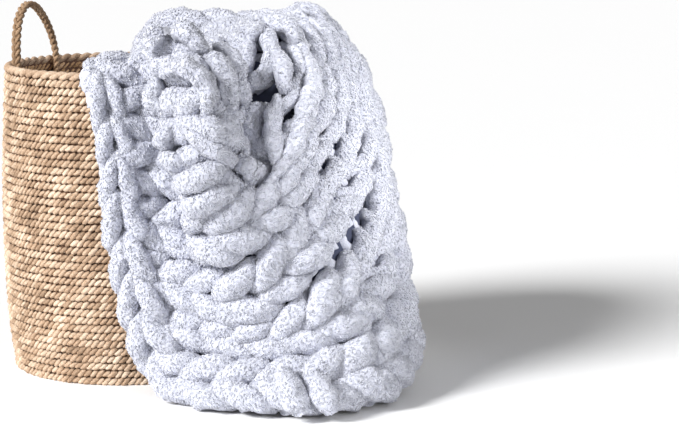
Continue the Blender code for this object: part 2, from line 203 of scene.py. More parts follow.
# The plaited edge runs down the left side, turns the corner and follows the hem:
# length along the cloth, wale, width in mm, lift in mm
EDGE_PATH = (
    (0.012, 7.00, 42, -12),
    (0.012, 6.55, 42, -12),
    (0.012, 6.00, 44, -2),
    (0.013, 5.00, 46, 5),
    (0.015, 4.00, 50, 6),
    (0.017, 3.00, 58, 6),
    (0.018, 2.00, 64, 5),
    (0.018, 1.30, 66, 4),
    (0.022, 0.80, 68, 4),
    (0.042, 0.42, 70, 4),
    (0.090, 0.36, 70, 4),
    (0.150, 0.38, 70, 4),
    (0.230, 0.37, 78, 3),
    (0.300, 0.47, 88, 2),
    (0.380, 0.56, 96, 0),
    (0.480, 0.60, 94, -1),
    (0.640, 0.60, 92, -2),
    (0.800, 0.56, 94, -3),
    (0.950, 0.50, 84, -4),
    (1.020, 0.45, 74, -5),
)
EDGE_PITCH = 54.0
# Fat turns of yarn at the end of the hem: one end, other end, radius
KNOT_LUMPS = (
    ((0.194, -0.360, 0.064), (0.219, -0.384, 0.014), 0.0185),
    ((0.233, -0.358, 0.060), (0.259, -0.383, 0.014), 0.0180),
)
KNOT_ARCH = 0.008
KNOT_OUTWARD = (0.0, -0.9, 0.44)
# In the bunched roll the usual stitches lie lower: length, sink in mm, and wale, share
ROLL_SINK = ((0.0, 0), (0.17, 0), (0.21, -7), (0.33, -7), (0.37, 0), (1.1, 0))
ROLL_WALES = ((0.0, 0), (3.7, 0), (4.4, 1), (5.6, 1), (6.5, 1.9), (7.0, 1.9))
# Loose arms of yarn that lie over the roll and the hump: radius in mm, then places
# as length along the cloth and wale
LOOSE_ARMS = (
    (13, (0.212, 6.24), (0.200, 5.94), (0.206, 5.58)),
    (13, (0.214, 6.20), (0.238, 6.22), (0.252, 6.00), (0.252, 5.70), (0.246, 5.46)),
    (16, (0.238, 5.42), (0.258, 5.16), (0.292, 4.86)),
    (13, (0.232, 5.20), (0.250, 4.89), (0.274, 4.58)),
    (16, (0.202, 4.33), (0.232, 4.42), (0.264, 4.62)),
    (16, (0.280, 4.52), (0.312, 4.20)),
    (13, (0.213, 5.36), (0.207, 4.98)),
    (13, (0.204, 4.92), (0.222, 4.62)),
    (14, (0.217, 6.62), (0.230, 6.98)),
    (14, (0.240, 6.95), (0.262, 6.48)),
    (13, (0.285, 6.86), (0.298, 6.36), (0.304, 5.92), (0.316, 5.52)),
    (14, (0.262, 6.46), (0.276, 6.00), (0.276, 5.52)),
    (16, (0.214, 3.98), (0.240, 4.02), (0.276, 4.12)),
    (12, (0.536, 5.30), (0.482, 5.08), (0.450, 4.86)),
    (12.5, (0.440, 4.86), (0.384, 4.36), (0.352, 4.02)),
    (13.5, (0.566, 4.62), (0.506, 4.50), (0.447, 4.38), (0.382, 4.02), (0.326, 3.86)),
    (12, (0.545, 5.56), (0.578, 5.16)),
    (13, (0.590, 5.06), (0.551, 4.76)),
)
LOOSE_HEIGHT = 15.0
LOOSE_ARCH = 7.0
LOOSE_WANDER = 3.0
# Dark sheet of painted shade behind the loops, where the cloth's hidden back lies: wales and heights
# in mm that it spans
BACKING_WALES = (0.10, 6.90)
BACKING_HEIGHTS = (-7.0, -11.0)
BACKING_ROWS = 120
BACKING_COLUMNS = 42
# Past this length the cloth is inside the basket, and its yarn is drawn coarser
HIDDEN_LENGTH = 0.82
HIDDEN_COARSENESS = 1.9
# and under this height, in mm, a loop lies behind others and carries no tufts
HIDDEN_HEIGHT = -6.0
YARN_GIRTH = 0.95
# Painted shade on the pile between the strands: how far its surface faces out of the cloth
# where it is deep and where it is open, and its share of the full colour where deep
DEEP_FACING = -0.5
OPEN_FACING = 0.3
DEEP_SHADE = 0.45


def to_linear(code):
    """Linear colour of an sRGB hex value such as D8BC94."""
    values = [int(code[at:at + 2], 16) / 255 for at in (0, 2, 4)]
    linear = [v / 12.92 if v <= 0.04045 else ((v + 0.055) / 1.055) ** 2.4 for v in values]
    return (*linear, 1.0)


def add_node(tree, kind, inputs=None, **settings):
    """Add a node with its settings; an input is a value, or a socket to link from."""
    node = tree.nodes.new(kind)
    for name, value in settings.items():
        setattr(node, name, value)
    for name, value in (inputs or {}).items():
        if isinstance(value, bpy.types.NodeSocket):
            tree.links.new(value, node.inputs[name])
        else:
            node.inputs[name].default_value = value
    return node


def new_tree(name, inputs):
    """Geometry Nodes tree with a geometry in and out, and inputs of the given kinds."""
    tree = bpy.data.node_groups.new(name, "GeometryNodeTree")
    tree.is_modifier = True
    sockets = tree.interface
    sockets.new_socket("Geometry", in_out="INPUT", socket_type="NodeSocketGeometry")
    for kind, names in inputs.items():
        for given in names:
            sockets.new_socket(given, in_out="INPUT", socket_type="NodeSocket" + kind)
    sockets.new_socket("Geometry", in_out="OUTPUT", socket_type="NodeSocketGeometry")
    return tree


def new_material(name, constants):
    """New material with constants on its shader's own sockets, and that shader."""
    material = bpy.data.materials.new(name)
    material.use_nodes = True
    shader = material.node_tree.nodes["Principled BSDF"]
    for socket, value in constants.items():
        shader.inputs[socket].default_value = value
    return material, shader


def linked(name, data):
    """New object with the given data, in the scene."""
    made = bpy.data.objects.new(name, data)
    bpy.context.scene.collection.objects.link(made)
    return made


def hermite(knots, places, at):
    """Smooth curve through places (knots x ... ), read at the values in at."""
    knots = np.asarray(knots, float)
    places = np.asarray(places, float)
    gaps = np.diff(knots)
    shape = (-1,) + (1,) * (places.ndim - 1)
    slopes = np.diff(places, axis=0) / gaps.reshape(shape)
    before = gaps[:-1].reshape(shape)
    after = gaps[1:].reshape(shape)
    inner = (slopes[:-1] * after + slopes[1:] * before) / (before + after)
    tangents = np.concatenate([slopes[:1], inner, slopes[-1:]])
    first = np.clip(np.searchsorted(knots, at, side="right") - 1, 0, len(gaps) - 1)
    gap = gaps[first].reshape(shape)
    share = ((np.asarray(at) - knots[first]) / gaps[first]).reshape(shape)
    square = share * share
    cube = square * share
    return (
        (2 * cube - 3 * square + 1) * places[first]
        + (cube - 2 * square + share) * gap * tangents[first]
        + (3 * square - 2 * cube) * places[first + 1]
        + (cube - square) * gap * tangents[first + 1]
    )


def line_places(row):
    """All places of one line, from the lip to its end inside the basket."""
    azimuth = math.radians(row[-2])
    end_height = row[-1]
    places = list(row[1:-2])
    lining = (
        (RIM_RADIUS_CM, RIM_HEIGHT_CM),
        (LINING_TOP_RADIUS_CM, LINING_TOP_CM),
        (LINING_MID_RADIUS_CM, (LINING_TOP_CM + end_height) / 2),
        (LINING_END_RADIUS_CM, end_height),
    )
    for radius, height in lining:
        places.append((radius * math.cos(azimuth), radius * math.sin(azimuth), height))
    return np.array(places) * CM


def along_line(places, stations):
    """Read one line at station numbers, with knots spaced by the root of each chord."""
    chords = np.linalg.norm(np.diff(places, axis=0), axis=1)
    knots = np.concatenate([[0.0], np.cumsum(np.sqrt(chords))])
    return hermite(knots, places, np.interp(stations, np.arange(len(knots)), knots))


def unit(vectors):
    """Vectors of length one in the same directions."""
    return vectors / np.linalg.norm(vectors, axis=-1, keepdims=True)


def smoothed(field):
    """Mean of each grid value with its neighbours."""
    padded = np.pad(field, ((1, 1), (1, 1), (0, 0)), mode="edge")
    rows, columns = field.shape[:2]
    total = np.zeros_like(field)
    for row in range(3):
        for column in range(3):
            total += padded[row:row + rows, column:column + columns]
    return total / 9


def read_table(table, column, at):
    """One column of a table read at values of its first column."""
    return np.interp(at, [row[0] for row in table], [row[column] for row in table])


def evened(grid, wales, lengths):
    """Share the cloth's width more evenly among the wales where it spreads out."""
    made = grid.copy()
    for row, share in enumerate(read_table(EVENING, 1, lengths)):
        steps = np.linalg.norm(np.diff(grid[row], axis=0), axis=1)
        width = np.concatenate([[0.0], np.cumsum(steps)])
        even = np.interp(np.linspace(0, width[-1], len(wales)), width, wales)
        at = (1 - share) * wales + share * even
        for axis in range(3):
            made[row, :, axis] = np.interp(at, wales, grid[row, :, axis])
    return made


def drape_grid():
    """Middle of the cloth on a fine grid, its mean length, and normals on a coarse one."""
    all_places = [line_places(row) for row in LINES]
    stations = np.linspace(0, len(all_places[0]) - 1, 400)
    lengths = []
    for places in all_places:
        steps = np.linalg.norm(np.diff(along_line(places, stations), axis=0), axis=1)
        lengths.append(np.concatenate([[0.0], np.cumsum(steps)]))
    mean = np.mean(lengths, axis=0)
    at = np.interp(np.linspace(0, mean[-1], FINE_ALONG + 1), mean, stations)
    lines = np.array([along_line(places, at) for places in all_places])
    wales = np.linspace(0, WALES, FINE_ACROSS + 1)
    grid = hermite([row[0] for row in LINES], lines, wales).transpose(1, 0, 2)
    grid = evened(grid, wales, np.linspace(0, mean[-1], FINE_ALONG + 1))
    coarse = grid[::COARSE_STEP[0], ::COARSE_STEP[1]]
    normals = unit(np.cross(np.gradient(coarse, axis=0), np.gradient(coarse, axis=1)))
    for _ in range(NORMAL_EASING):
        normals = unit(smoothed(normals))
    return grid, mean[-1], normals


GRID, CLOTH_LENGTH, NORMALS = drape_grid()


def read_grid(field, row, column, beyond=True):
    """Field read between its grid points, and a little past its edges."""
    if not beyond:
        row = np.clip(row, 0, field.shape[0] - 1)
        column = np.clip(column, 0, field.shape[1] - 1)
    low_row = np.clip(np.floor(row).astype(int), 0, field.shape[0] - 2)
    low_column = np.clip(np.floor(column).astype(int), 0, field.shape[1] - 2)
    down = (row - low_row)[:, None]
    over = (column - low_column)[:, None]
    return (
        field[low_row, low_column] * (1 - down) * (1 - over)
        + field[low_row + 1, low_column] * down * (1 - over)
        + field[low_row, low_column + 1] * (1 - down) * over
        + field[low_row + 1, low_column + 1] * down * over
    )


def on_cloth(length, wale, height):
    """Places at a length along the cloth, a wale number and a height over its middle."""
    row = np.asarray(length) / CLOTH_LENGTH * FINE_ALONG
    column = np.asarray(wale) / WALES * FINE_ACROSS
    row, column, height = np.broadcast_arrays(row, column, height)
    place = read_grid(GRID, row, column)
    place[:, 2] -= HEM_DROP * np.clip(1 - np.asarray(wale) / HEM_FADE, 0, 1)
    normal = read_grid(NORMALS, row / COARSE_STEP[0], column / COARSE_STEP[1], beyond=False)
    return place + unit(normal) * height[:, None]


def distances(places):
    """Distance along a row of places, from its first."""
    steps = np.linalg.norm(np.diff(places, axis=0), axis=1)
    return np.concatenate([[0.0], np.cumsum(steps)])


def loop_shape(rng):
    """One knit loop in its own frame: along, aside, height and radius, in mm and wales."""
    halves = []
    for side in (-1, 1):
        half = np.array(LOOP_HALF, float)
        half[:, 1] *= side
        legs = slice(2, 8)
        half[legs, 0] += rng.normal(0, 1.5)
        half[legs, 1] += rng.normal(0, 0.015)
        half[legs, 2] += rng.normal(0, 1.5)
        half[legs, 3] *= rng.normal(1, 0.05)
        halves.append(half)
    table = np.concatenate([halves[0][:-1], halves[1][::-1]])
    return hermite(np.arange(len(table)), table, np.linspace(0, len(table) - 1, LOOP_POINTS))


def above_floor(places, radius):
    """Lift the yarn where it would sink into the floor."""
    places[:, 2] = np.maximum(places[:, 2], radius + FLOOR_CLEARANCE)
    return places


def wale_loops(number, rng):
    """Yarn paths of all the loops of one wale, from the border to the end in the basket."""
    middle = number + 0.5
    lengths = np.linspace(0, CLOTH_LENGTH, 500)
    arc = distances(on_cloth(lengths, middle, 0.0))
    side_step = on_cloth(lengths, middle + 0.4, 0.0) - on_cloth(lengths, middle - 0.4, 0.0)
    widths = np.linalg.norm(side_step, axis=1) / 0.8
    start = np.interp(WALES_START, lengths, arc)
    pitches = read_table(STRETCH, 1, lengths) * LOOP_PITCH * MM
    stitches = np.concatenate([[0.0], np.cumsum(np.diff(arc) / pitches[1:])])
    stitches = stitches - np.interp(start, arc, stitches)
    count = round(stitches[-1])
    stitches = stitches * count / stitches[-1]
    paths = []
    for loop in range(count):
        shape = loop_shape(rng)
        length = np.interp(loop + shape[:, 0] / LOOP_PITCH, stitches, lengths)
        size = np.clip(np.interp(length, lengths, widths) / WALE_WIDTH, 0.85, 1.25) ** 0.8
        straight = np.clip((read_table(STRETCH, 1, length) - 1) * STRETCHED_STRAIGHTER, 0, 1)
        steady = np.sign(shape[:, 1]) * STRETCHED_ASIDE
        arm = np.clip((shape[:, 2] - HIDDEN_HEIGHT) / ARM_BLEND, 0, 1) * straight
        shape[:, 1] += (steady - shape[:, 1]) * arm
        squeeze = read_table(SQUEEZE, 1, length)
        height = shape[:, 2] * squeeze + read_table(WALE_LIFT, 1, length)
        height = height + read_table(ROLL_SINK, 1, length) * read_table(ROLL_WALES, 1, middle)
        radius = shape[:, 3] * MM * YARN_GIRTH * size * (0.5 + 0.5 * squeeze)
        radius = radius / read_table(STRETCH, 1, length) ** STRETCH_THINNING
        places = on_cloth(length, middle + shape[:, 1], height * MM)
        outward = on_cloth(length, middle + shape[:, 1], 0.01) - on_cloth(
            length, middle + shape[:, 1], 0.0)
        inside = float(np.mean(length) > HIDDEN_LENGTH)
        hidden = np.maximum(inside, (shape[:, 2] < HIDDEN_HEIGHT).astype(float))
        paths.append((above_floor(places, radius), radius, unit(outward), hidden))
    return paths


def edge_loops(rng):
    """Yarn paths of the plaited edge, down the left side and along the hem."""
    knots = np.arange(len(EDGE_PATH))
    path = hermite(knots, np.array(EDGE_PATH, float), np.linspace(0, knots[-1], 800))
    middle = on_cloth(path[:, 0], path[:, 1], 0.0)
    normal = unit(on_cloth(path[:, 0], path[:, 1], 0.01) - middle)
    across = unit(np.cross(normal, np.gradient(middle, axis=0)))
    arc = distances(middle)
    count = round(arc[-1] * 1000 / EDGE_PITCH)
    pitch = arc[-1] / count
    table = np.column_stack([arc, middle, normal, across, path[:, 2], path[:, 3]])
    paths = []
    for loop in range(count):
        shape = loop_shape(rng)
        along = (loop + shape[:, 0] / LOOP_PITCH) * pitch
        here = np.column_stack([np.interp(along, arc, table[:, at]) for at in range(12)])
        width = here[:, 10] * MM
        height = (shape[:, 2] + here[:, 11]) * MM
        radius = shape[:, 3] * MM * YARN_GIRTH * width / WALE_WIDTH
        places = here[:, 1:4] + here[:, 4:7] * height[:, None]
        places = places + here[:, 7:10] * (shape[:, 1] * width)[:, None]
        hidden = (shape[:, 2] < HIDDEN_HEIGHT).astype(float)
        paths.append((above_floor(places, radius), radius, unit(here[:, 4:7]), hidden))
    return paths


def knot_lumps(rng):
    """The two fat turns of yarn that finish the hem."""
    paths = []
    for low, high, radius in KNOT_LUMPS:
        share = np.linspace(0, 1, 24)
        swell = np.sin(math.pi * np.clip(share, 0.08, 0.92)) ** 0.35
        places = np.array(low) + (np.array(high) - np.array(low)) * share[:, None]
        places[:, 1] -= KNOT_ARCH * np.sin(math.pi * share)
        outward = np.tile(KNOT_OUTWARD, (len(places), 1))
        hidden = np.zeros(len(places))
        paths.append((above_floor(places, radius * swell), radius * swell, outward, hidden))
    return paths


def loose_arms(rng):
    """Arms of yarn that lie loose over the bunched roll and down the hump."""
    paths = []
    for radius, *places in LOOSE_ARMS:
        count = 12 * len(places)
        share = np.linspace(0, 1, count)
        along = hermite(np.linspace(0, 1, len(places)), np.array(places), share)
        swell = np.sin(math.pi * np.clip(share, 0.03, 0.97)) ** 0.35
        wander = LOOSE_WANDER * np.sin(2 * math.pi * (1.5 * share + rng.random()))
        height = (LOOSE_HEIGHT + LOOSE_ARCH * np.sin(math.pi * share) + wander) * MM
        middle = on_cloth(along[:, 0], along[:, 1], height)
        outward = unit(middle - on_cloth(along[:, 0], along[:, 1], 0.0))
        paths.append((middle, radius * MM * swell, outward, np.zeros(count)))
    return paths


def mesh_of_paths(name, paths):
    """Mesh of edges along each path: radius, way out of the cloth, whether it is hidden."""
    vertices = np.concatenate([path[0] for path in paths])
    radii = np.concatenate([path[1] for path in paths])
    outward = np.concatenate([path[2] for path in paths])
    hidden = np.concatenate([path[3] for path in paths])
    edges = []
    first = 0
    for path in paths:
        count = len(path[0])
        edges += [(first + at, first + at + 1) for at in range(count - 1)]
        first += count
    mesh = bpy.data.meshes.new(name)
    mesh.from_pydata(vertices.tolist(), edges, [])
    mesh.attributes.new("radius_here", "FLOAT", "POINT").data.foreach_set("value", radii)
    mesh.attributes.new("hidden", "FLOAT", "POINT").data.foreach_set("value", hidden)
    way = mesh.attributes.new("outward", "FLOAT_VECTOR", "POINT")
    way.data.foreach_set("vector", outward.ravel())
    return linked(name, mesh)


def add_tufts(tree, given, yarn, hidden):
    """Nodes that stand small tufts of pile on the yarn where it faces out of the cloth."""
    facing = add_node(
        tree, "GeometryNodeInputNamedAttribute", {"Name": "facing"}, data_type="FLOAT",
    )
    share = add_node(
        tree, "ShaderNodeMapRange",
        {"Value": facing.outputs["Attribute"], 1: -0.05, 2: 0.25, 3: 0.0, 4: 1.0},
    )
    shown = add_node(tree, "ShaderNodeMath", {0: 1.0, 1: hidden}, operation="SUBTRACT")
    share = add_node(
        tree, "ShaderNodeMath", {0: share.outputs[0], 1: shown.outputs[0]}, operation="MULTIPLY",
    )
    density = add_node(
        tree, "ShaderNodeMath", {0: share.outputs[0], 1: given["Tufts a Square Metre"]},
        operation="MULTIPLY",
    )
    spots = add_node(
        tree, "GeometryNodeDistributePointsOnFaces",
        {"Mesh": yarn, "Density": density.outputs[0], "Seed": given["Seed"]},
    )
    tuft = add_node(
        tree, "GeometryNodeMeshCone",
        {
            "Vertices": 3, "Radius Top": 0.0, "Radius Bottom": given["Tuft Width"],
            "Depth": given["Tuft Height"],
        },
    )
    lean = add_node(
        tree, "FunctionNodeRandomValue",
        {"Min": (-0.7, -0.7, -3.1), "Max": (0.7, 0.7, 3.1), "Seed": given["Seed"]},
        data_type="FLOAT_VECTOR",
    )
    turned = add_node(
        tree, "FunctionNodeRotateRotation",
        {"Rotation": spots.outputs["Rotation"], "Rotate By": lean.outputs["Value"]},
        rotation_space="LOCAL",
    )
    size = add_node(
        tree, "FunctionNodeRandomValue", {2: 0.7, 3: 1.3, "Seed": given["Seed"]},
        data_type="FLOAT",
    )
    standing = add_node(
        tree, "GeometryNodeInstanceOnPoints",
        {
            "Points": spots.outputs["Points"], "Instance": tuft.outputs["Mesh"],
            "Rotation": turned.outputs["Rotation"], "Scale": size.outputs[1],
        },
    )
    return standing.outputs["Instances"]


def strand_tree():
    """Geometry Nodes that sweep a lumpy yarn along every path of a mesh of edges."""
    tree = new_tree("lumpy_strand", {
        "Float": (
            "Ring Spacing", "Lump Size", "Lump Height", "Curl Size", "Curl Height",
            "Tufts a Square Metre", "Tuft Height", "Tuft Width",
        ),
        "Int": ("Sides", "Seed"),
        "Material": ("Material",),
    })
    given = add_node(tree, "NodeGroupInput").outputs
    curve = add_node(tree, "GeometryNodeMeshToCurve", {"Mesh": given["Geometry"]})
    hidden = add_node(
        tree, "GeometryNodeInputNamedAttribute", {"Name": "hidden"}, data_type="FLOAT",
    ).outputs["Attribute"]
    coarseness = add_node(
        tree, "ShaderNodeMath", {0: hidden, 1: HIDDEN_COARSENESS - 1, 2: 1.0},
        operation="MULTIPLY_ADD",
    )
    spacing = add_node(
        tree, "ShaderNodeMath", {0: coarseness.outputs[0], 1: given["Ring Spacing"]},
        operation="MULTIPLY",
    )
    resampled = add_node(
        tree, "GeometryNodeResampleCurve",
        {"Curve": curve.outputs["Curve"], "Length": spacing.outputs[0]}, mode="LENGTH",
    )
    radius = add_node(
        tree, "GeometryNodeInputNamedAttribute", {"Name": "radius_here"}, data_type="FLOAT",
    )
    thick = add_node(
        tree, "GeometryNodeSetCurveRadius",
        {"Curve": resampled.outputs["Curve"], "Radius": radius.outputs["Attribute"]},
    )
    ring = add_node(
        tree, "GeometryNodeCurvePrimitiveCircle",
        {"Resolution": given["Sides"], "Radius": 1.0}, mode="RADIUS",
    )
    swept_inputs = {
        "Curve": thick.outputs["Curve"],
        "Profile Curve": ring.outputs["Curve"],
        "Fill Caps": True,
    }
    swept = add_node(tree, "GeometryNodeCurveToMesh", swept_inputs)
    scale = swept.inputs.get("Scale")
    if scale is not None:
        tree.links.new(radius.outputs["Attribute"], scale)
    total = None
    for size, height, detail in (
        ("Lump Size", "Lump Height", 0.0), ("Curl Size", "Curl Height", 1.0),
    ):
        per_metre = add_node(
            tree, "ShaderNodeMath", {0: 1.0, 1: given[size]}, operation="DIVIDE",
        )
        noise = add_node(
            tree, "ShaderNodeTexNoise",
            {"Scale": per_metre.outputs[0], "Detail": detail, "Roughness": 0.6},
        )
        centred = add_node(
            tree, "ShaderNodeMath", {0: noise.outputs[0], 1: 0.5}, operation="SUBTRACT",
        )
        raised = add_node(
            tree, "ShaderNodeMath", {0: centred.outputs[0], 1: given[height]},
            operation="MULTIPLY",
        )
        if total is None:
            total = raised
        else:
            total = add_node(
                tree, "ShaderNodeMath", {0: total.outputs[0], 1: raised.outputs[0]},
                operation="ADD",
            )
    normal = add_node(tree, "GeometryNodeInputNormal")
    offset = add_node(
        tree, "ShaderNodeVectorMath",
        {0: normal.outputs["Normal"], "Scale": total.outputs[0]}, operation="SCALE",
    )
    moved = add_node(
        tree, "GeometryNodeSetPosition",
        {"Geometry": swept.outputs["Mesh"], "Offset": offset.outputs["Vector"]},
    )
    # how far the yarn's surface faces out of the cloth, for the tufts and the painted shade in the
    # colour
    outward = add_node(
        tree, "GeometryNodeInputNamedAttribute", {"Name": "outward"}, data_type="FLOAT_VECTOR",
    )
    facing = add_node(
        tree, "ShaderNodeVectorMath",
        {0: outward.outputs["Attribute"], 1: normal.outputs["Normal"]}, operation="DOT_PRODUCT",
    )
    yarn = add_node(
        tree, "GeometryNodeStoreNamedAttribute",
        {"Geometry": moved.outputs["Geometry"], "Name": "facing", "Value": facing.outputs["Value"]},
        data_type="FLOAT", domain="POINT",
    ).outputs["Geometry"]
    tufts = add_tufts(tree, given, yarn, hidden)
    both = add_node(tree, "GeometryNodeJoinGeometry")
    tree.links.new(yarn, both.inputs["Geometry"])
    tree.links.new(tufts, both.inputs["Geometry"])
    smooth = add_node(
        tree, "GeometryNodeSetShadeSmooth", {"Geometry": both.outputs["Geometry"]},
    )
    real = add_node(
        tree, "GeometryNodeRealizeInstances", {"Geometry": smooth.outputs["Geometry"]},
    )
    painted = add_node(
        tree, "GeometryNodeSetMaterial",
        {"Geometry": real.outputs["Geometry"], "Material": given["Material"]},
    )
    add_node(tree, "NodeGroupOutput", {"Geometry": painted.outputs["Geometry"]})
    return tree


def made_real(piece, tree, values):
    """Run a node tree on a piece with the given inputs, and keep only the plain mesh."""
    modifier = piece.modifiers.new("made", "NODES")
    modifier.node_group = tree
    for item in tree.interface.items_tree:
        if item.in_out == "INPUT" and item.name in values:
            modifier[item.identifier] = values[item.name]
    graph = bpy.context.evaluated_depsgraph_get()
    mesh = bpy.data.meshes.new_from_object(piece.evaluated_get(graph), depsgraph=graph)
    mesh.name = piece.name
    piece.modifiers.remove(modifier)
    piece.data = mesh
    return piece


def chenille_yarn():
    """Polyester chenille, thick plush yarn: a soft short pile, matt with a faint sheen."""
    material, shader = new_material("chenille_yarn_pale_blue_grey", {
        "Roughness": 0.95, "Specular IOR Level": 0.2, "Sheen Weight": 0.3,
        "Sheen Roughness": 0.6, "Sheen Tint": to_linear("E8EAF4"),
        "Subsurface Weight": 0.4, "Subsurface Radius": (1.0, 1.0, 1.0),
        "Subsurface Scale": 0.004,
    })
    tree = material.node_tree
    place = add_node(tree, "ShaderNodeTexCoord").outputs["Object"]
    # curls of pile about 4 mm across, with finer fibres on them
    pile = add_node(
        tree, "ShaderNodeTexNoise",
        {"Vector": place, "Scale": 240.0, "Detail": 4.0, "Roughness": 0.7, "Distortion": 0.6},
    )
    # the ramp colours the pile darker where the same noise sinks its bump: painted shade in the pits
    # between curls, with uneven tone
    tone = add_node(tree, "ShaderNodeValToRGB", {"Fac": pile.outputs[0]})
    tone.color_ramp.elements[0].position = 0.30
    tone.color_ramp.elements[0].color = to_linear("BDC0D0")
    tone.color_ramp.elements[1].position = 0.58
    tone.color_ramp.elements[1].color = to_linear("DBDDE9")
    bump = add_node(
        tree, "ShaderNodeBump",
        {"Height": pile.outputs[0], "Strength": 1.0, "Distance": 0.0030},
    )
    # painted shade: the pile deep between two strands is coloured darker, where it would take little
    # light
    facing = add_node(tree, "ShaderNodeAttribute", attribute_name="facing")
    painted_crevice_shade = add_node(
        tree, "ShaderNodeMapRange",
        {"Value": facing.outputs["Fac"], 1: DEEP_FACING, 2: OPEN_FACING, 3: DEEP_SHADE, 4: 1.0},
    )
    shaded = add_node(
        tree, "ShaderNodeVectorMath",
        {0: tone.outputs["Color"], "Scale": painted_crevice_shade.outputs[0]}, operation="SCALE",
    )
    tree.links.new(shaded.outputs["Vector"], shader.inputs["Base Color"])
    tree.links.new(bump.outputs["Normal"], shader.inputs["Normal"])
    return material


def build_blanket(tree, material):
    """The knit: border and hem, knot, loose arms, six wales of loops and the dark back layer of
    painted shade.
    """
    rng = np.random.default_rng(SEED)
    sizes = {
        "Ring Spacing": 4.2 * MM, "Sides": 22, "Material": material,
        "Lump Size": 17 * MM, "Lump Height": 9 * MM,
        "Curl Size": 6.5 * MM, "Curl Height": 5 * MM, "Seed": SEED,
        "Tufts a Square Metre": 80000.0, "Tuft Height": 1.7 * MM, "Tuft Width": 2.0 * MM,
    }
    groups = {
        "knit_edge": edge_loops(rng), "hem_knot": knot_lumps(rng), "knit_loose": loose_arms(rng),
    }
    for number in range(1, WALES):
        groups[f"knit_wale_{number + 1}"] = wale_loops(number, rng)
    for name, paths in groups.items():
        piece = made_real(mesh_of_paths(name, paths), tree, sizes)
        finish_piece(piece, "blanket")
    backing = build_backing()
    finish_piece(backing, "blanket")


def build_backing():
    """Painted shade behind the cloth: a thin closed dark layer that shows between the loops."""
    lengths = np.linspace(0.02, CLOTH_LENGTH - 0.01, BACKING_ROWS + 1)
    wales = np.linspace(*BACKING_WALES, BACKING_COLUMNS + 1)
    all_lengths, all_wales = np.meshgrid(lengths, wales, indexing="ij")
    vertices = []
    for height in BACKING_HEIGHTS:
        layer = on_cloth(all_lengths.ravel(), all_wales.ravel(), height * MM)
        layer[:, 2] = np.maximum(layer[:, 2], 0.002 - height * 0.0001)
        vertices += layer.tolist()
    across = BACKING_COLUMNS + 1
    below = (BACKING_ROWS + 1) * across
    faces = []
    for row in range(BACKING_ROWS):
        for column in range(BACKING_COLUMNS):
            corner = row * across + column
            quad = (corner, corner + across, corner + across + 1, corner + 1)
            faces.append(quad)
            faces.append(tuple(at + below for at in reversed(quad)))
    rim = [row * across for row in range(BACKING_ROWS)]
    rim += [BACKING_ROWS * across + column for column in range(BACKING_COLUMNS)]
    rim += [row * across + BACKING_COLUMNS for row in range(BACKING_ROWS, 0, -1)]
    rim += list(range(BACKING_COLUMNS, 0, -1))
    for here, there in zip(rim, rim[1:] + rim[:1]):
        faces.append((there, here, here + below, there + below))
    mesh = bpy.data.meshes.new("knit_back")
    mesh.from_pydata(vertices, [], faces)
    mesh.shade_smooth()
    # its dark colour is painted shade, the darkness seen between the loops
    shade, _ = new_material("chenille_yarn_in_shade", {
        "Base Color": to_linear("4A4E60"), "Roughness": 1.0, "Specular IOR Level": 0.0,
    })
    mesh.materials.append(shade)
    return linked("knit_back", mesh)


def finish_piece(piece, node):
    """Make a piece ride with the body and stand for its solid."""
    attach(piece, "root")
    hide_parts(node)


def basket_radius(height):
    """Outer radius of the basket's wall at each of the heights."""
    heights = [BASKET_FOOT_ROUND] + [share * BASKET_HEIGHT for share, _ in BASKET_SIDE]
    radii = [BASKET_FOOT_RADIUS + BASKET_FOOT_ROUND] + [radius for _, radius in BASKET_SIDE]
    heights.append(BASKET_HEIGHT)
    radii.append(BASKET_RIM_RADIUS)
    return hermite(heights, np.array(radii)[:, None], np.atleast_1d(height))[:, 0]


def turned_mesh(name, profile, turns):
    """Closed turned shell from a half section that starts and ends on the axis."""
    profile = np.array(profile)
    angles = np.arange(turns) * 2 * math.pi / turns
    rings = profile[1:-1]
    vertices = [(0.0, 0.0, profile[0, 1]), (0.0, 0.0, profile[-1, 1])]
    for radius, height in rings:
        vertices += [(radius * math.cos(a), radius * math.sin(a), height) for a in angles]
    faces = []
    last = 2 + (len(rings) - 1) * turns
    for at in range(turns):
        after = (at + 1) % turns
        faces.append((0, 2 + at, 2 + after))
        faces.append((1, last + after, last + at))
        for ring in range(len(rings) - 1):
            low = 2 + ring * turns
            high = low + turns
            faces.append((low + at, high + at, high + after, low + after))
    mesh = bpy.data.meshes.new(name)
    mesh.from_pydata(vertices, [], faces)
    mesh.shade_smooth()
    return linked(name, mesh)


def basket_wall():
    """The coils' core: a wall with a rib for each coil, inside and outside, and a bottom."""
    pitch = BASKET_HEIGHT / COILS
    inner = [(0.0, BASKET_FLOOR)]
    inner += [(radius, BASKET_FLOOR) for radius in np.linspace(0.010, BASKET_FOOT_RADIUS - 0.006, 14)]
    outer = []
    for coil in range(1, COILS):
        for share, rib in CORE_RIB:
            height = (coil + share) * pitch
            radius = float(basket_radius(height)[0])
            if height > BASKET_FLOOR + 0.004:
                inner.append((radius - BASKET_WALL + rib, height))
            outer.append((radius - CORE_OUT - rib, height))
    foot = [(BASKET_FOOT_RADIUS + 0.004, 0.003), (BASKET_FOOT_RADIUS - 0.004, 0.0)]
    return turned_mesh("basket_core", inner + outer[::-1] + foot + [(0.0, 0.0)], COIL_TURNS)


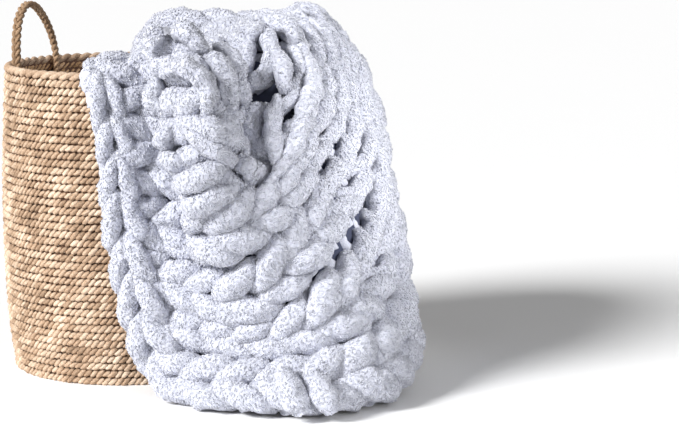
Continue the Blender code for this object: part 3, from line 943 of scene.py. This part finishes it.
def ring_paths(name, rings):
    """Mesh of closed rings, each a radius and a height, with a direction out of the wall."""
    vertices = []
    edges = []
    outward = []
    for radius, height, side in rings:
        first = len(vertices)
        for turn in range(COIL_TURNS):
            angle = 2 * math.pi * turn / COIL_TURNS
            vertices.append((radius * math.cos(angle), radius * math.sin(angle), height))
            outward.append((side * math.cos(angle), side * math.sin(angle), 0.0))
            edges.append((first + turn, first + (turn + 1) % COIL_TURNS))
    mesh = bpy.data.meshes.new(name)
    mesh.from_pydata(vertices, edges, [])
    out = mesh.attributes.new("outward", "FLOAT_VECTOR", "POINT")
    out.data.foreach_set("vector", np.array(outward, float).ravel())
    return linked(name, mesh)


def leaf_mesh():
    """One visible turn of a strand: a short flattened lozenge along X, thick along Z."""
    rings = []
    for share, girth in LEAF_SHAPE:
        for corner in range(LEAF_SIDES):
            angle = 2 * math.pi * corner / LEAF_SIDES
            rings.append((
                share * LEAF_LENGTH / 2,
                girth * LEAF_WIDTH / 2 * math.cos(angle),
                girth * LEAF_THICKNESS / 2 * math.sin(angle),
            ))
    tips = [(-LEAF_LENGTH / 2, 0.0, 0.0), (LEAF_LENGTH / 2, 0.0, 0.0)]
    faces = []
    for ring in range(len(LEAF_SHAPE) - 1):
        for corner in range(LEAF_SIDES):
            here = ring * LEAF_SIDES + corner
            beside = ring * LEAF_SIDES + (corner + 1) % LEAF_SIDES
            faces.append((here, here + LEAF_SIDES, beside + LEAF_SIDES, beside))
    end = len(rings)
    last = end - LEAF_SIDES
    for corner in range(LEAF_SIDES):
        beside = (corner + 1) % LEAF_SIDES
        faces.append((end, corner, beside))
        faces.append((end + 1, last + beside, last + corner))
    mesh = bpy.data.meshes.new("strand_turn")
    mesh.from_pydata(rings + tips, [], faces)
    mesh.shade_smooth()
    return linked("strand_turn", mesh)


def coil_tree():
    """Geometry Nodes that lay slanted turns of a strand along every ring of a mesh of edges."""
    tree = new_tree("coiled_strands", {
        "Float": ("Turn Spacing", "Slant", "Size"),
        "Int": ("Seed",),
        "Object": ("Strand Turn",),
        "Material": ("Material",),
    })
    given = add_node(tree, "NodeGroupInput").outputs
    curve = add_node(tree, "GeometryNodeMeshToCurve", {"Mesh": given["Geometry"]})
    places = add_node(
        tree, "GeometryNodeCurveToPoints",
        {"Curve": curve.outputs["Curve"], "Length": given["Turn Spacing"]}, mode="LENGTH",
    )
    outward = add_node(
        tree, "GeometryNodeInputNamedAttribute", {"Name": "outward"}, data_type="FLOAT_VECTOR",
    )
    facing = add_node(
        tree, "FunctionNodeAxesToRotation",
        {"Primary Axis": outward.outputs["Attribute"], "Secondary Axis": places.outputs["Tangent"]},
        primary_axis="Z", secondary_axis="X",
    )
    wobble = add_node(
        tree, "FunctionNodeRandomValue",
        {"Min": (-0.12, -0.10, -0.16), "Max": (0.12, 0.10, 0.16), "Seed": given["Seed"]},
        data_type="FLOAT_VECTOR",
    )
    slanted = add_node(tree, "ShaderNodeCombineXYZ", {"Z": given["Slant"]})
    angles = add_node(
        tree, "ShaderNodeVectorMath",
        {0: slanted.outputs[0], 1: wobble.outputs["Value"]}, operation="ADD",
    )
    turned = add_node(
        tree, "FunctionNodeRotateRotation",
        {"Rotation": facing.outputs["Rotation"], "Rotate By": angles.outputs[0]},
        rotation_space="LOCAL",
    )
    girth = add_node(
        tree, "FunctionNodeRandomValue", {2: 0.88, 3: 1.14, "Seed": given["Seed"]},
        data_type="FLOAT",
    )
    size = add_node(
        tree, "ShaderNodeMath", {0: girth.outputs[1], 1: given["Size"]}, operation="MULTIPLY",
    )
    turn = add_node(
        tree, "GeometryNodeObjectInfo", {"Object": given["Strand Turn"]},
        transform_space="ORIGINAL",
    )
    laid = add_node(
        tree, "GeometryNodeInstanceOnPoints",
        {
            "Points": places.outputs["Points"], "Instance": turn.outputs["Geometry"],
            "Rotation": turned.outputs["Rotation"], "Scale": size.outputs[0],
        },
    )
    tone = add_node(
        tree, "FunctionNodeRandomValue", {2: 0.0, 3: 1.0, "Seed": 11}, data_type="FLOAT",
    )
    toned = add_node(
        tree, "GeometryNodeStoreNamedAttribute",
        {"Geometry": laid.outputs["Instances"], "Name": "tone", "Value": tone.outputs[1]},
        data_type="FLOAT", domain="INSTANCE",
    )
    real = add_node(
        tree, "GeometryNodeRealizeInstances", {"Geometry": toned.outputs["Geometry"]},
    )
    painted = add_node(
        tree, "GeometryNodeSetMaterial",
        {"Geometry": real.outputs["Geometry"], "Material": given["Material"]},
    )
    add_node(tree, "NodeGroupOutput", {"Geometry": painted.outputs["Geometry"]})
    return tree


def jute(name, light, middle, dark, use_tone):
    """Natural jute and dried leaf: dry, matt, streaky straw with lighter and browner strands."""
    material, shader = new_material(name, {"Roughness": 0.8, "Specular IOR Level": 0.3})
    tree = material.node_tree
    place = add_node(tree, "ShaderNodeTexCoord").outputs["Object"]
    # fibres under 1 mm across, drawn about 2 mm across so that they show
    fibres = add_node(
        tree, "ShaderNodeTexNoise",
        {"Vector": place, "Scale": 420.0, "Detail": 3.0, "Roughness": 0.6},
    )
    patches = add_node(
        tree, "ShaderNodeTexNoise", {"Vector": place, "Scale": 26.0, "Detail": 2.0},
    )
    mixed = add_node(
        tree, "ShaderNodeMath", {0: fibres.outputs[0], 1: patches.outputs[0]}, operation="ADD",
    )
    share = add_node(tree, "ShaderNodeMath", {0: mixed.outputs[0], 1: 0.5}, operation="MULTIPLY")
    if use_tone:
        tone = add_node(tree, "ShaderNodeAttribute", attribute_name="tone")
        share = add_node(
            tree, "ShaderNodeMath",
            {0: tone.outputs["Fac"], 1: 0.22, 2: share.outputs[0]}, operation="MULTIPLY_ADD",
        )
        share = add_node(
            tree, "ShaderNodeMath", {0: share.outputs[0], 1: 0.09}, operation="SUBTRACT",
        )
    ramp = add_node(tree, "ShaderNodeValToRGB", {"Fac": share.outputs[0]})
    stops = ramp.color_ramp.elements
    stops[0].position = 0.22
    stops[0].color = to_linear(dark)
    stops[1].position = 0.72
    stops[1].color = to_linear(light)
    half = stops.new(0.47)
    half.color = to_linear(middle)
    bump = add_node(
        tree, "ShaderNodeBump",
        {"Height": fibres.outputs[0], "Strength": 0.6, "Distance": 0.0010},
    )
    tree.links.new(ramp.outputs["Color"], shader.inputs["Base Color"])
    tree.links.new(bump.outputs["Normal"], shader.inputs["Normal"])
    return material


def rim_strands():
    """Two strands twisted round each other to make the thicker top coil of the rim."""
    paths = []
    turns = round(2 * math.pi * RIM_COIL_RADIUS / RIM_LAY)
    angle = np.linspace(0, 2 * math.pi, turns * 12 + 1)
    for strand in (0, 1):
        twist = angle * turns + strand * math.pi
        radius = RIM_COIL_RADIUS + RIM_TWIST * np.cos(twist)
        places = np.column_stack([
            radius * np.cos(angle), radius * np.sin(angle),
            RIM_COIL_HEIGHT + RIM_TWIST * np.sin(twist),
        ])
        outward = np.column_stack([np.cos(angle), np.sin(angle), np.zeros(len(angle))])
        paths.append((places, np.full(len(places), RIM_STRAND), outward, np.zeros(len(places))))
    return paths


def handle_strands():
    """Three flat plaited strands along the handle's loop."""
    top = BASKET_HEIGHT
    low = top - HANDLE_FOOT_DEPTH
    feet = []
    for azimuth in HANDLE_AZIMUTHS:
        turn = math.radians(azimuth)
        direction = np.array([math.cos(turn), math.sin(turn)])
        low_radius = float(basket_radius(low)[0]) - HANDLE_CLEARANCE
        top_radius = float(basket_radius(top)[0]) - HANDLE_CLEARANCE
        feet.append((direction * low_radius, direction * top_radius))
    near_low, near_top = feet[0]
    far_low, far_top = feet[1]
    # share of the way between the feet, height over the rim as a share of the rise
    arch = ((0.02, 0.45), (0.10, 0.79), (0.27, 0.98), (0.48, 0.95), (0.73, 0.69), (0.91, 0.35))
    route = [(*near_low, low), (*near_top, top)]
    for share, rise in arch:
        place = near_top + (far_top - near_top) * share
        route.append((*place, top + HANDLE_RISE * rise))
    route += [(*far_top, top), (*far_low, low)]
    smooth = along_line(np.array(route), np.linspace(0, len(route) - 1, 300))
    length = distances(smooth)
    forward = unit(np.gradient(smooth, axis=0))
    # the strap is broad across the loop's plane, and turns edge on towards its far foot
    between = unit(far_top - near_top)
    side = np.array((between[1], -between[0], 0.0))
    twist = np.interp(length / length[-1], (0.0, HANDLE_TWIST_START, 1.0), (0.0, 0.0, HANDLE_TWIST))
    across = side * np.cos(twist)[:, None] + np.cross(forward, side) * np.sin(twist)[:, None]
    flat = unit(np.cross(across, forward))
    paths = []
    for strand in range(3):
        phase = 2 * math.pi * (length / PLAIT_LAY + strand / 3)
        places = smooth + across * (PLAIT_HALF * np.sin(phase))[:, None]
        places = places + flat * (PLAIT_DEPTH * np.sin(2 * phase))[:, None]
        paths.append((places, np.full(len(places), PLAIT_STRAND), flat, np.zeros(len(places))))
    return paths


def build_basket(strands, coils):
    """The coiled basket: its core, the strands' turns on it, the rim coil and the handle."""
    straw = jute("jute_rope_twisted", "E2CEB8", "B2967C", "604A38", use_tone=True)
    # the coils inside the basket get a lighter, warmer copy of the straw: painted light that lifts
    # the shade inside
    inner = jute("jute_rope_inside", "E4C4A2", "BC966E", "6E5038", use_tone=True)
    # the core shows in the gaps between the strands' turns and on the inner wall; its dark colours
    # are painted shade there
    shade = jute("jute_rope_core", "8A6C54", "64493A", "3A2A1F", use_tone=False)
    plait = jute("jute_plait_handle", "B89C80", "8F7358", "57412F", use_tone=False)
    top = jute("jute_rope_rim", "DCC8B2", "AC9077", "604A38", use_tone=False)
    core = basket_wall()
    core.data.materials.append(shade)
    finish_piece(core, "basket")

    turn = leaf_mesh()
    pitch = BASKET_HEIGHT / COILS
    heights = (np.arange(0, COILS - 1) + 0.5) * pitch
    radii = basket_radius(np.maximum(heights, BASKET_FOOT_ROUND))
    outside = [(radius - OUT_SINK, height, 1) for radius, height in zip(radii, heights)]
    inside = [
        (radius - BASKET_WALL + IN_SINK, height, -1)
        for radius, height in zip(radii[-INNER_COILS:], heights[-INNER_COILS:])
    ]
    for name, rings, seed, look in (
        ("basket_coils_outside", outside, 3, straw), ("basket_coils_inside", inside, 4, inner),
    ):
        sizes = {
            "Turn Spacing": TURN_SPACING, "Slant": TURN_SLANT, "Size": 1.0, "Seed": seed,
            "Strand Turn": turn, "Material": look,
        }
        piece = made_real(ring_paths(name, rings), coils, sizes)
        finish_piece(piece, "basket")
    bpy.data.objects.remove(turn, do_unlink=True)

    sizes = {
        "Ring Spacing": 2.6 * MM, "Sides": 10, "Material": top,
        "Lump Size": 6 * MM, "Lump Height": 0.6 * MM,
        "Curl Size": 2.5 * MM, "Curl Height": 0.3 * MM,
    }
    rim = made_real(mesh_of_paths("basket_rim_coil", rim_strands()), strands, sizes)
    finish_piece(rim, "basket")
    sizes = {
        "Ring Spacing": 2.0 * MM, "Sides": 10, "Material": plait,
        "Lump Size": 4 * MM, "Lump Height": 0.8 * MM,
        "Curl Size": 2 * MM, "Curl Height": 0.4 * MM,
    }
    handle = made_real(mesh_of_paths("handle_plait", handle_strands()), strands, sizes)
    finish_piece(handle, "handle")


def build_camera():
    """Camera at the picture's place, looking a little down and to the right."""
    data = bpy.data.cameras.new("camera")
    data.sensor_width = SENSOR_MM
    data.lens = FOCAL_PX / IMAGE_WIDTH_PX * SENSOR_MM
    camera = bpy.data.objects.new("camera", data)
    camera.location = EYE
    direction = Vector((
        math.sin(PAN) * math.cos(PITCH), math.cos(PAN) * math.cos(PITCH), -math.sin(PITCH),
    ))
    camera.rotation_mode = "QUATERNION"
    camera.rotation_quaternion = direction.to_track_quat("-Z", "Y")
    bpy.context.scene.collection.objects.link(camera)
    bpy.context.scene.camera = camera


def add_light(name, kind, place, target, **settings):
    """A light at a place, aimed at a target."""
    data = bpy.data.lights.new(name, kind)
    for setting, value in settings.items():
        setattr(data, setting, value)
    light = linked(name, data)
    light.location = place
    light.rotation_mode = "QUATERNION"
    light.rotation_quaternion = (Vector(target) - Vector(place)).to_track_quat("-Z", "Y")


def build_stage():
    """A plain pale floor, a white surround and soft lights."""
    size = 12.0
    mesh = bpy.data.meshes.new("floor")
    corners = [(-size, -size, 0), (size, -size, 0), (size, size, 0), (-size, size, 0)]
    mesh.from_pydata(corners, [], [(0, 1, 2, 3)])
    floor = linked("floor", mesh)
    paper, _ = new_material(
        "matt_white_paper_floor", {"Base Color": to_linear("FBFBFB"), "Roughness": 0.9},
    )
    mesh.materials.append(paper)

    world = bpy.data.worlds.new("white_surround")
    bpy.context.scene.world = world
    world.use_nodes = True
    background = world.node_tree.nodes["Background"]
    background.inputs["Color"].default_value = (1.0, 1.0, 1.0, 1.0)
    # white behind the object, dimmer on the side of the viewer
    direction = add_node(world.node_tree, "ShaderNodeTexCoord").outputs["Generated"]
    parts = add_node(world.node_tree, "ShaderNodeSeparateXYZ", {0: direction})
    strength = add_node(
        world.node_tree, "ShaderNodeMapRange",
        {"Value": parts.outputs["Y"], 1: -0.95, 2: -0.25, 3: FRONT_LIGHT, 4: SURROUND_LIGHT},
    )
    world.node_tree.links.new(strength.outputs[0], background.inputs["Strength"])
    bpy.context.scene.view_settings.view_transform = "Standard"
    add_light(
        "key", "SUN", (0, 0, 0), KEY_DIRECTION,
        energy=KEY_STRENGTH, angle=math.radians(KEY_SOFTNESS),
    )
    for name, power, place, target, cone in SPOTS:
        add_light(
            name, "SPOT", place, target,
            energy=power, spot_size=math.radians(cone), spot_blend=0.8, shadow_soft_size=0.15,
        )
    add_light(
        "front_fill", "AREA", FRONT_FILL_PLACE, FRONT_FILL_TARGET,
        shape="SQUARE", size=FRONT_FILL_SIZE, energy=FRONT_FILL_POWER,
    )


build_camera()
build_stage()
lumpy_strand = strand_tree()
build_blanket(lumpy_strand, chenille_yarn())
build_basket(lumpy_strand, coil_tree())
